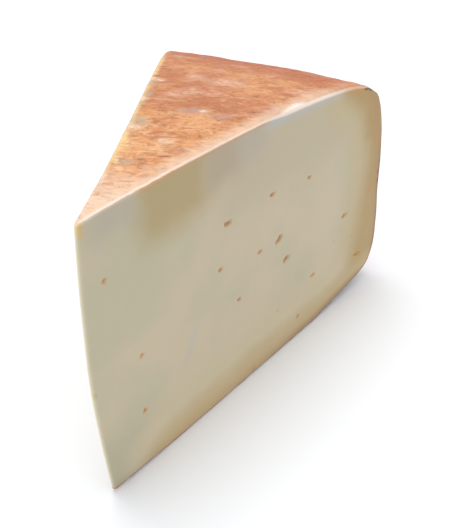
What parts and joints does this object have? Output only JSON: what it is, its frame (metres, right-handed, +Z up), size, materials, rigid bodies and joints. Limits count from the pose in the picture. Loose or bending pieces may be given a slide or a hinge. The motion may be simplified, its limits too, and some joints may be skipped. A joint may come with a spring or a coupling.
{
  "type": "cheese wedge",
  "caption": "Wedge of semi-hard cheese cut from a round wheel, with a washed rind on top, side and base and small eyes in both cut faces.",
  "frame": {"origin": "middle of the foot of the bounding box, on the surface that the wedge stands on", "axes": "+Z up; +Y from the tip, where the two cuts meet, towards the rind of the wheel's side; +X towards the right cut"},
  "size_m": [0.0852, 0.1538, 0.1],
  "materials": {
    "cheese": "satin, slightly waxy paste with a mottled orange-brown rind"
  },
  "bodies": {
    "root": {"cheese_wedge": "cheese"}
  },
  "joints": []
}
